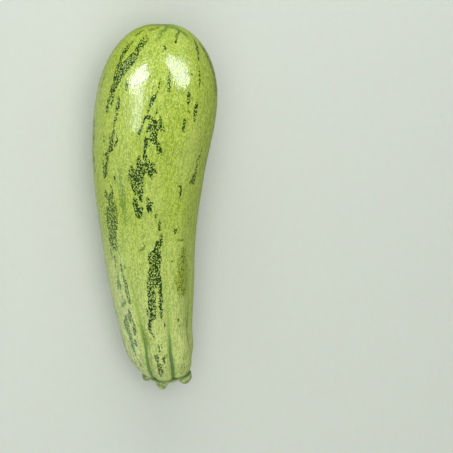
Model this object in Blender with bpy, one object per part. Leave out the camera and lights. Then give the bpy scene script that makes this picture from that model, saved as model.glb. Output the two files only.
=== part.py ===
"""Zucchini lying on its side, with the cut five-lobed foot of its stalk.

Metres, +Z up. The long axis runs along Y, with the blossom end at +Y and the stem end at -Y. The fruit
bows sideways, towards -X, and rests on z = 0 on a narrow flat spot that its own weight has pressed along
its underside. The origin is on the surface that it lies on, below the middle of its outline.
"""
import math

import bmesh
import bpy
from mathutils import Vector

# Length and roundness of the fruit
SKIN_LENGTH = 0.1680            # blossom pole to the junction with the stalk's foot, along Y
BELLY_AT = 0.0402               # widest place, from the blossom pole
CAP_ROUNDNESS = 2.15            # exponent of the blossom end's curve: 2 is an ellipse, more is blunter
# (distance from the blossom pole, radius) on the long taper, from the belly to the junction
TAPER = ((BELLY_AT, 0.0283), (0.0700, 0.0260), (0.0970, 0.0227), (0.1230, 0.0204),
         (0.1450, 0.0177), (0.1570, 0.0163), (0.1640, 0.0139), (SKIN_LENGTH, 0.0119))

# How the fruit bends and lies
# (distance from the blossom pole, sideways place) of the centre line
BEND = ((0.0, 0.0), (0.030, -0.0023), (0.065, -0.0069), (0.100, -0.0078),
        (0.130, -0.0066), (0.153, -0.0044), (SKIN_LENGTH, 0.0))
LOWEST_AT = 0.074               # middle of the resting spot, from the blossom pole
END_RISE = 0.0036               # how far the underside curves up over half the fruit's length
PRESSED_FLAT = 0.00055          # depth of skin that the resting weight has pressed flat
FACE_TURN = 0.31                # share of the bend's slope that the cross-sections turn with
FACE_NOD = 0.66                 # share of the centre line's fall that they nod with

# Ribs, with a groove between each two: (turn at mid-length, turn at the foot) of each groove, in degrees
# from straight up towards +X
GROOVES = ((-120, -120), (-35, -43), (8, 4.5), (45, 78), (134, 156))
GROOVE_SETTLE = 0.022           # length over which the grooves drift to their turns at the foot
RIB_SWELL = 0.034               # rise of a crest over the mean radius at the stem end, as a share of it
RIB_SWELL_MIN = 0.006           # the same along the rest of the fruit
RIB_FADE = 0.042                # length over which the ribs die away from the stem end
GROOVE_DEPTH = 0.0011           # narrow bottom of a groove at the stem end
GROOVE_FADE = 0.026
GROOVE_SHARPNESS = 5.0

# Blossom scar, a shallow dimple with folds running into it
SCAR_RADIUS = 0.0045
SCAR_DEPTH = 0.0009
FOLD_DEPTH = 0.030              # share of the radius
FOLD_REACH = 0.006

# Stem end of the fruit: a small rounded shoulder round a flat face
SHOULDER = 0.0006

# Foot of the stalk: knobs round a scar that is cut almost flush
JOINT_GAP = 0.0003
# (turn in degrees, half-width in degrees, reach beyond the low rim, height above it) of each knob
KNOBS = ((-97, 20, 0.0010, 0.0028), (-28, 16, 0.0010, 0.0036), (47, 22, 0.0021, 0.0034),
         (118, 20, 0.0012, 0.0030), (190, 19, 0.0010, 0.0028))
FOOT_RADIUS = 0.0108            # between the knobs
FOOT_HEIGHT = 0.0020            # low rim between the knobs
KNOB_BLUNTNESS = 3              # 2 is a bell, more is flatter on top and steeper at its sides
RIM_WIDTH = 0.0040              # from the flank to the cut
RIM_TOP = 0.0024                # how far a knob's top lies inside its flank
RIM_TUCK = 0.0004               # how far the flank tucks in against the fruit
CUT_HEIGHT = 0.0017
PITH_RADIUS = 0.0018
PITH_DEPTH = 0.0008

# Fineness of the solids
SEGMENTS = 72
CAP_RINGS = 11
BODY_RINGS = 30
BODY_CROWDING = 1.25            # over 1 brings the rings closer together towards the stem end
SHOULDER_RINGS = 2
FOOT_SEGMENTS = 60
FLANK_RINGS = 8


def through(stations, distance, first_slope):
    """Smooth curve through (distance, value) stations: Hermite pieces, slopes from the neighbours."""
    slopes = [first_slope]
    for before, after in zip(stations[:-2], stations[2:]):
        slopes.append((after[1] - before[1]) / (after[0] - before[0]))
    slopes.append((stations[-1][1] - stations[-2][1]) / (stations[-1][0] - stations[-2][0]))
    index = 0
    while index < len(stations) - 2 and distance > stations[index + 1][0]:
        index += 1
    (start, value_0), (end, value_1) = stations[index:index + 2]
    span = end - start
    share = (distance - start) / span
    rise = value_1 - value_0
    bend_0 = slopes[index] * span - rise
    bend_1 = rise - slopes[index + 1] * span
    return value_0 + rise * share + share * (1 - share) * ((1 - share) * bend_0 + share * bend_1)


def mean_radius(distance):
    """Radius without ribs: a blunt quarter curve up to the belly, and the taper behind it."""
    if distance >= BELLY_AT:
        return through(TAPER, distance, 0.0)
    to_belly = 1 - distance / BELLY_AT
    return TAPER[0][1] * (1 - to_belly ** CAP_ROUNDNESS) ** (1 / CAP_ROUNDNESS)


def spine(distance):
    """Centre line: bowed sideways, and as high as the radius, so that the underside lies level."""
    bend = through(BEND, distance, BEND[1][1] / BEND[1][0])
    rise = END_RISE * (2 * (distance - LOWEST_AT) / SKIN_LENGTH) ** 2
    return Vector((bend, -distance, mean_radius(max(distance, BELLY_AT)) + rise))


def section_frame(distance):
    """Centre, side and up directions, and the direction towards the stem end, of one cross-section."""
    step = 1e-5
    slope = (spine(distance + step) - spine(distance - step)) / (2 * step)
    along = Vector((FACE_TURN * slope.x, slope.y, FACE_NOD * slope.z)).normalized()
    side = Vector((0, 0, 1)).cross(along).normalized()
    return spine(distance), side, along.cross(side), along


def radial(turn, side, up):
    """Unit vector in a cross-section, turned from up towards the side."""
    return math.sin(turn) * side + math.cos(turn) * up


def rib_wave(distance, turn):
    """1 on the crest of each rib, -1 in the groove between two."""
    settled = math.exp(-max(0.0, SKIN_LENGTH - distance) / GROOVE_SETTLE)
    grooves = [middle + (foot - middle) * settled for middle, foot in GROOVES]
    grooves.append(grooves[0] + 360)
    past_first = (math.degrees(turn) - grooves[0]) % 360 + grooves[0]
    for left, right in zip(grooves[:-1], grooves[1:]):
        if past_first <= right:
            return -math.cos(2 * math.pi * (past_first - left) / (right - left))
    return -1.0


def skin_radius(distance, mean, turn):
    """Radius with the ribs, their grooves and the folds round the blossom scar."""
    from_stem = max(0.0, SKIN_LENGTH - distance)
    swell = RIB_SWELL_MIN + (RIB_SWELL - RIB_SWELL_MIN) * math.exp(-from_stem / RIB_FADE)
    fold = FOLD_DEPTH * math.exp(-distance / FOLD_REACH)
    wave = rib_wave(distance, turn)
    groove = GROOVE_DEPTH * math.exp(-GROOVE_SHARPNESS * (1 + wave) - from_stem / GROOVE_FADE)
    return mean * (1 + (swell + fold) * wave - groove / TAPER[-1][1])


def skin_stations():
    """(distance, mean radius) of each ring, from the blossom pole to the middle of the stem face."""
    stations = [(0.0, 0.0)]
    for ring in range(1, CAP_RINGS):
        angle = 0.5 * math.pi * ring / CAP_RINGS
        distance = BELLY_AT * (1 - math.cos(angle) ** (2 / CAP_ROUNDNESS))
        stations.append((distance, mean_radius(distance)))
    for ring in range(BODY_RINGS + 1):
        share = 1 - (1 - ring / BODY_RINGS) ** BODY_CROWDING
        distance = BELLY_AT + (SKIN_LENGTH - BELLY_AT) * share
        stations.append((distance, mean_radius(distance)))
    end_radius = mean_radius(SKIN_LENGTH)
    for ring in range(1, SHOULDER_RINGS + 1):
        angle = 0.5 * math.pi * ring / SHOULDER_RINGS
        inward = SHOULDER * (1 - math.cos(angle))
        stations.append((SKIN_LENGTH + SHOULDER * math.sin(angle), end_radius - inward))
    stations.append((SKIN_LENGTH + SHOULDER, 0.5 * end_radius))
    stations.append((SKIN_LENGTH + SHOULDER, 0.0))
    return stations


def ball_by_rings(rings, segments, place):
    """A sphere whose points are placed by a function of their ring's number and their turn round it."""
    shape = bmesh.new()
    bmesh.ops.create_uvsphere(shape, u_segments=segments, v_segments=rings - 1, radius=1)
    for vertex in shape.verts:
        x, y, z = vertex.co
        ring = round(math.acos(max(-1.0, min(1.0, z))) / math.pi * (rings - 1))
        turn = 0.0 if ring in (0, rings - 1) else math.atan2(y, x)
        vertex.co = place(ring, turn)
    return shape


def fruit_shape():
    """The whole fruit as one closed skin."""
    stations = skin_stations()

    def place(ring, turn):
        distance, mean = stations[ring]
        centre, side, up, along = section_frame(distance)
        radius = skin_radius(distance, mean, turn)
        dimple = SCAR_DEPTH * math.exp(-(radius / SCAR_RADIUS) ** 2) if ring < CAP_RINGS else 0.0
        return centre + radius * radial(turn, side, up) + dimple * along

    return ball_by_rings(len(stations), SEGMENTS, place)


def knob_at(turn):
    """(reach beyond the low rim, height above it) of the foot at one turn."""
    reach = height = 0.0
    for middle, half_width, knob_reach, knob_height in KNOBS:
        off = abs((math.degrees(turn) - middle + 180) % 360 - 180)
        bump = math.exp(-(off / half_width) ** KNOB_BLUNTNESS)
        reach += knob_reach * bump
        height += knob_height * bump
    return reach, height


def foot_shape():
    """The stalk's foot: flat against the fruit, knobs round its rim, and the cut with its pith hollow."""
    centre, side, up, along = section_frame(SKIN_LENGTH + SHOULDER)
    base = centre + JOINT_GAP * along
    cut = [(1.0, CUT_HEIGHT), (0.6, CUT_HEIGHT)]
    pith = [(1.0, CUT_HEIGHT), (0.75, CUT_HEIGHT - PITH_DEPTH), (0.0, CUT_HEIGHT - PITH_DEPTH)]

    def place(ring, turn):
        reach, height = knob_at(turn)
        outer = FOOT_RADIUS + reach
        cut_radius = outer - RIM_WIDTH
        if ring < 2:
            radius, level = 0.5 * ring * outer, 0.0
        elif ring < 2 + FLANK_RINGS:
            angle = math.pi * (ring - 2) / FLANK_RINGS
            inward = RIM_TUCK if angle < 0.5 * math.pi else RIM_TOP
            radius = outer - inward * (1 - math.sin(angle))
            level = (FOOT_HEIGHT + height) * (0.5 - 0.5 * math.cos(angle))
        elif ring < 2 + FLANK_RINGS + len(cut):
            share, level = cut[ring - 2 - FLANK_RINGS]
            radius = cut_radius * share
        else:
            share, level = pith[ring - 2 - FLANK_RINGS - len(cut)]
            radius = PITH_RADIUS * share
        return base + level * along + radius * radial(turn, side, up)

    return ball_by_rings(2 + FLANK_RINGS + len(cut) + len(pith), FOOT_SEGMENTS, place)


def lay_down(shapes):
    """Lowers the part until its underside is pressed flat on z = 0, and centres its outline on the origin."""
    points = [vertex.co for shape in shapes for vertex in shape.verts]
    drop = min(point.z for point in points) + PRESSED_FLAT
    middle_x = 0.5 * (min(point.x for point in points) + max(point.x for point in points))
    middle_y = 0.5 * (min(point.y for point in points) + max(point.y for point in points))
    for point in points:
        point.x -= middle_x
        point.y -= middle_y
        point.z = max(0.0, point.z - drop)


def plain_material(name, colour, roughness):
    """A Principled material of one colour."""
    made = bpy.data.materials.new(name)
    made.use_nodes = True
    shader = made.node_tree.nodes["Principled BSDF"]
    shader.inputs["Base Color"].default_value = (*colour, 1)
    shader.inputs["Roughness"].default_value = roughness
    shader.inputs["Metallic"].default_value = 0.0
    made.diffuse_color = (*colour, 1)
    return made


def add_object(name, shape, finish, collection):
    """Turns a shape into a named, smooth-shaded object."""
    mesh = bpy.data.meshes.new(name)
    shape.to_mesh(mesh)
    shape.free()
    mesh.shade_smooth()
    mesh.materials.append(finish)
    collection.objects.link(bpy.data.objects.new(name, mesh))


for old in list(bpy.data.objects):
    bpy.data.objects.remove(old, do_unlink=True)
zucchini = bpy.data.collections.new("zucchini")
bpy.context.scene.collection.children.link(zucchini)

fruit = fruit_shape()
foot = foot_shape()
lay_down([fruit, foot])
add_object("fruit", fruit, plain_material("skin", (0.40, 0.58, 0.12), 0.32), zucchini)
add_object("stem", foot, plain_material("stalk_foot", (0.16, 0.28, 0.09), 0.55), zucchini)
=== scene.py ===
"""A zucchini lying on its side on a pale surface, seen from steeply above.

Metres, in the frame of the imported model: +Z up, the blossom end towards +Y, the bow towards -X, and the
surface that the fruit lies on at z = 0.
"""

import math
import random

import bpy
import numpy as np
from mathutils import Matrix, Vector


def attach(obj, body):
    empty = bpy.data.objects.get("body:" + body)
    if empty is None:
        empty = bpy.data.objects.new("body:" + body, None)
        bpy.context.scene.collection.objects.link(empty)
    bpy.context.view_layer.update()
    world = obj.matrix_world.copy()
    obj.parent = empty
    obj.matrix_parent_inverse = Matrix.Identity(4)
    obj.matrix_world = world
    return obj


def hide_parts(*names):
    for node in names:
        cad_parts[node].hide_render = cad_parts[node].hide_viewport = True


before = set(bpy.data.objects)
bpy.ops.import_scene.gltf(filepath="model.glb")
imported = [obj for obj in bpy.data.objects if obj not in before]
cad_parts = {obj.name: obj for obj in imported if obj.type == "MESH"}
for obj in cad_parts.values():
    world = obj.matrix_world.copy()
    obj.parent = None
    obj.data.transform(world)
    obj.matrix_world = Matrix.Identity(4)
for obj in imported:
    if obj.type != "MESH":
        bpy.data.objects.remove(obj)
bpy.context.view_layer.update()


# The camera looks steeply down from the fruit's middle, a little from its stem side, so that the fruit
# fills the left of the picture.
CAMERA_AT = Vector((-0.1176, 0.0915, 0.5332))
CAMERA_RIGHT = Vector((0.9563, -0.0271, 0.2912))
CAMERA_UP = Vector((0.0799, 0.9821, -0.1708))
SENSOR_WIDTH = 36
LENS = 88.72
SEEN_FROM, SEEN_TO = 0.01, 20


def turned_to(right, up, place):
    """The matrix of something at a place, with its X to the right and its Y upwards."""
    right = right.normalized()
    back = right.cross(up).normalized()
    turned = Matrix((right, back.cross(right), back)).transposed().to_4x4()
    turned.translation = place
    return turned


camera_data = bpy.data.cameras.new("camera")
camera_data.sensor_width = SENSOR_WIDTH
camera_data.lens = LENS
camera_data.clip_start = SEEN_FROM
camera_data.clip_end = SEEN_TO
camera = bpy.data.objects.new("camera", camera_data)
camera.matrix_world = turned_to(CAMERA_RIGHT, CAMERA_UP, CAMERA_AT)
bpy.context.scene.collection.objects.link(camera)
bpy.context.scene.camera = camera
bpy.context.scene.view_settings.view_transform = "Standard"


# The surface that the fruit lies on: a wide sheet of pale, matt board.
FLOOR_HALF = 5.0
FLOOR_COLOUR = (0.530, 0.545, 0.490, 1)
FLOOR_GRAIN_COLOUR = (0.560, 0.575, 0.520, 1)
FLOOR_GRAIN_SCALE = 260
FLOOR_ROUGHNESS = 0.55


def feed(socket, value):
    """Links an output to a socket, or sets the socket's own value."""
    if isinstance(value, bpy.types.NodeSocket):
        socket.id_data.links.new(value, socket)
    else:
        socket.default_value = value


def add_node(tree, kind, inputs=(), **settings):
    """The outputs of a new node with its settings, its inputs fed as pairs of name and value."""
    made = tree.nodes.new(kind)
    for name, value in settings.items():
        setattr(made, name, value)
    for name, value in inputs:
        feed(made.inputs[name], value)
    return made.outputs


def wired(kind, inputs, **settings):
    """As add_node, in the tree of the first output among the values."""
    inputs = list(inputs)
    tree = next(value.id_data for _, value in inputs if isinstance(value, bpy.types.NodeSocket))
    return add_node(tree, kind, inputs, **settings)


def maths(operation, *values):
    """The result of one sum on numbers or outputs."""
    return wired("ShaderNodeMath", enumerate(values), operation=operation)[0]


def product(first, second):
    """One number times another."""
    return maths("MULTIPLY", first, second)


def total(first, second):
    """One number plus another."""
    return maths("ADD", first, second)


def vectors(operation, *values):
    """The result of one sum on vectors."""
    return wired("ShaderNodeVectorMath", enumerate(values), operation=operation)[0]


def span(value, start, end, low=0.0, high=1.0, eased=True):
    """A value between start and end as low to high, held at both ends."""
    return wired("ShaderNodeMapRange", enumerate((value, start, end, low, high)),
                 interpolation_type="SMOOTHSTEP" if eased else "LINEAR")[0]


def tint(share, first, second):
    """Two colours mixed by a share."""
    return wired("ShaderNodeMix", (("Factor", share), ("A", first), ("B", second)),
                 data_type="RGBA")["Result"]


def noise(place, scale, detail=2.0, roughness=0.5, output="Fac"):
    """Soft random values, 0 to 1, at a place."""
    return wired("ShaderNodeTexNoise",
                 (("Vector", place), ("Scale", scale), ("Detail", detail),
                  ("Roughness", roughness)))[output]


def stretched(place, scale):
    """A place scaled along its three directions."""
    return wired("ShaderNodeMapping", (("Vector", place), ("Scale", scale)), vector_type="POINT")[0]


def new_finish(name):
    """A material, its node tree, and the inputs of its Principled shader."""
    made = bpy.data.materials.new(name)
    made.use_nodes = True
    return made, made.node_tree, made.node_tree.nodes["Principled BSDF"].inputs


def linked(obj):
    """Puts an object into the scene."""
    bpy.context.scene.collection.objects.link(obj)
    return obj


board, board_tree, board_look = new_finish("pale_board")
board_grain = noise(add_node(board_tree, "ShaderNodeTexCoord")["Object"], FLOOR_GRAIN_SCALE, 3, 0.6)
feed(board_look["Base Color"], tint(board_grain, FLOOR_COLOUR, FLOOR_GRAIN_COLOUR))
feed(board_look["Roughness"], FLOOR_ROUGHNESS)
floor_mesh = bpy.data.meshes.new("floor")
floor_corners = [(x * FLOOR_HALF, y * FLOOR_HALF, 0) for x, y in ((-1, -1), (1, -1), (1, 1), (-1, 1))]
floor_mesh.from_pydata(floor_corners, [], [(0, 1, 2, 3)])
floor_mesh.materials.append(board)
floor = linked(bpy.data.objects.new("floor", floor_mesh))
floor.visible_glossy = False


# The fruit is one grown body. Its form follows a rule: round sections along a bent centre line that swell
# into five ribs towards the stem end, with narrow grooves between them and a scar at the blossom end.
SKIN_LENGTH = 0.1680
BELLY_AT = 0.0402
CAP_ROUNDNESS = 2.15
TAPER = ((BELLY_AT, 0.0283), (0.0700, 0.0260), (0.0970, 0.0227), (0.1230, 0.0204),
         (0.1450, 0.0177), (0.1570, 0.0163), (0.1640, 0.0139), (SKIN_LENGTH, 0.0119))
BEND = ((0.0, 0.0), (0.030, -0.0023), (0.065, -0.0069), (0.100, -0.0078),
        (0.130, -0.0066), (0.153, -0.0044), (SKIN_LENGTH, 0.0))
LOWEST_AT = 0.074
END_RISE = 0.0036
FACE_TURN = 0.31
FACE_NOD = 0.66
LIES_AT = Vector((0.004047, 0.088528, -0.000411))
# (distance from the blossom pole, turn in degrees from straight up towards +X) along each groove
GROOVE_LINES = (((0, -120), (0.168, -120)),
                ((0, -36), (0.100, -38), (0.124, -37), (0.143, -35), (0.150, -33.5), (0.156, -35),
                 (0.161, -40), (0.168, -46)),
                ((0, 8.5), (0.142, 8.7), (0.151, 7.7), (0.158, 5.8), (0.168, 4)),
                ((0, 45), (0.140, 46), (0.156, 60), (0.168, 78)),
                ((0, 134), (0.140, 135), (0.156, 145), (0.168, 156)))
RIB_SWELL = 0.034
RIB_SWELL_MIN = 0.006
RIB_FADE = 0.042
GROOVE_DEPTH = 0.0011
GROOVE_FADE = 0.026
GROOVE_SHARPNESS = 5.0
SCAR_RADIUS = 0.0045
SCAR_DEPTH = 0.0009
FOLD_DEPTH = 0.030
FOLD_REACH = 0.006
SHOULDER = 0.0006
SKIN_SEGMENTS = 280
SKIN_RINGS = 330
FINE_STEPS = 6000
SHOULDER_RINGS = 4
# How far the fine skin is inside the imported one
INSIDE = 0.00005


def through(stations, distance, first_slope):
    """Smooth curve through (distance, value) stations: Hermite pieces, slopes from neighbours."""
    slopes = [first_slope]
    for before, after in zip(stations[:-2], stations[2:]):
        slopes.append((after[1] - before[1]) / (after[0] - before[0]))
    slopes.append((stations[-1][1] - stations[-2][1]) / (stations[-1][0] - stations[-2][0]))
    index = 0
    while index < len(stations) - 2 and distance > stations[index + 1][0]:
        index += 1
    (start, value_0), (end, value_1) = stations[index:index + 2]
    share = (distance - start) / (end - start)
    rise = value_1 - value_0
    bend_0 = slopes[index] * (end - start) - rise
    bend_1 = rise - slopes[index + 1] * (end - start)
    return value_0 + rise * share + share * (1 - share) * ((1 - share) * bend_0 + share * bend_1)


def mean_radius(distance):
    """Radius without ribs: a blunt quarter curve up to the belly, and the taper behind it."""
    if distance >= BELLY_AT:
        return through(TAPER, distance, 0.0)
    to_belly = 1 - max(0.0, distance) / BELLY_AT
    return TAPER[0][1] * (1 - to_belly ** CAP_ROUNDNESS) ** (1 / CAP_ROUNDNESS)


def spine(distance):
    """Centre line: bowed sideways, and as high as the radius, so that the underside lies level."""
    bend = through(BEND, distance, BEND[1][1] / BEND[1][0])
    rise = END_RISE * (2 * (distance - LOWEST_AT) / SKIN_LENGTH) ** 2
    return Vector((bend, -distance, mean_radius(max(distance, BELLY_AT)) + rise)) + LIES_AT


def section_frame(distance):
    """Centre of one cross-section, and its side, up and stemward directions."""
    step = 1e-5
    slope = (spine(distance + step) - spine(distance - step)) / (2 * step)
    along = Vector((FACE_TURN * slope.x, slope.y, FACE_NOD * slope.z)).normalized()
    side = Vector((0, 0, 1)).cross(along).normalized()
    return spine(distance), side, along.cross(side), along


def skin_stations():
    """(distance, mean radius) of each ring, even over the skin, then over the small stem face."""
    fine = [SKIN_LENGTH * (index / FINE_STEPS) ** 2 for index in range(FINE_STEPS + 1)]
    radii = [mean_radius(distance) for distance in fine]
    walked = np.concatenate(([0.0], np.cumsum(np.hypot(np.diff(fine), np.diff(radii)))))
    even = np.interp(np.linspace(0, walked[-1], SKIN_RINGS), walked, fine)
    stations = [(float(distance), mean_radius(float(distance))) for distance in even]
    end_radius = stations[-1][1]
    for ring in range(1, SHOULDER_RINGS + 1):
        angle = 0.5 * math.pi * ring / SHOULDER_RINGS
        stations.append((SKIN_LENGTH + SHOULDER * math.sin(angle),
                         end_radius - SHOULDER * (1 - math.cos(angle))))
    stations.append((SKIN_LENGTH + SHOULDER, 0.5 * end_radius))
    stations.append((SKIN_LENGTH + SHOULDER, 0.0))
    return stations


def rib_share(distance, turns):
    """How far each turn, in degrees, has come from one groove to the next, 0 to 1."""
    grooves = [float(np.interp(distance, *zip(*line))) for line in GROOVE_LINES]
    grooves.append(grooves[0] + 360)
    past_first = (turns - grooves[0]) % 360 + grooves[0]
    return np.interp(past_first, grooves, range(len(grooves))) % 1.0


def mesh_of_rings(name, rings, segments):
    """A closed mesh of rings of points: the first and last ring are single points."""
    points = [rings[0][:1], *rings[1:-1], rings[-1][:1]]
    mesh = bpy.data.meshes.new(name)
    last = 1 + segments * (len(rings) - 2)
    faces = []
    for index in range(segments):
        after = (index + 1) % segments
        faces.append((0, 1 + index, 1 + after))
        faces.append((last, last - segments + after, last - segments + index))
    for ring in range(len(rings) - 3):
        first = 1 + ring * segments
        for index in range(segments):
            after = (index + 1) % segments
            faces.append((first + index, first + segments + index, first + segments + after, first + after))
    mesh.from_pydata(np.concatenate(points).tolist(), [], faces)
    mesh.update()
    return mesh


def store(mesh, name, values):
    """Writes one number, or one vector, for each point of a mesh."""
    values = np.asarray(values, dtype=np.float32)
    kind, key = ("FLOAT_VECTOR", "vector") if values.ndim == 2 else ("FLOAT", "value")
    mesh.attributes.new(name, kind, "POINT").data.foreach_set(key, values.ravel())


def per_point(ring_values):
    """Values ring by ring as one array, with a single entry for the first and the last ring."""
    return np.concatenate([ring_values[0][:1], *ring_values[1:-1], ring_values[-1][:1]])


turns = np.degrees(np.linspace(-math.pi, math.pi, SKIN_SEGMENTS, endpoint=False))
sines, cosines = np.sin(np.radians(turns))[:, None], np.cos(np.radians(turns))[:, None]
rings, facts = [], {}
for distance, radius in skin_stations():
    centre, side, up, along = section_frame(distance)
    outward = sines * np.array(side) + cosines * np.array(up)
    rings.append(np.array(centre) + radius * outward)
    known = {"turn": turns, "share": rib_share(distance, turns), "outward": outward,
             "distance": np.full(SKIN_SEGMENTS, distance), "mean": np.full(SKIN_SEGMENTS, radius),
             "along": np.tile(np.array(along), (SKIN_SEGMENTS, 1)),
             "place": np.hstack((radius * sines, np.full_like(sines, distance), radius * cosines))}
    for name, values in known.items():
        facts.setdefault(name, []).append(values)
skin_mesh = mesh_of_rings("fruit_skin", rings, SKIN_SEGMENTS)
for name, values in facts.items():
    store(skin_mesh, name, per_point(values))
skin_points = per_point(rings)


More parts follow.
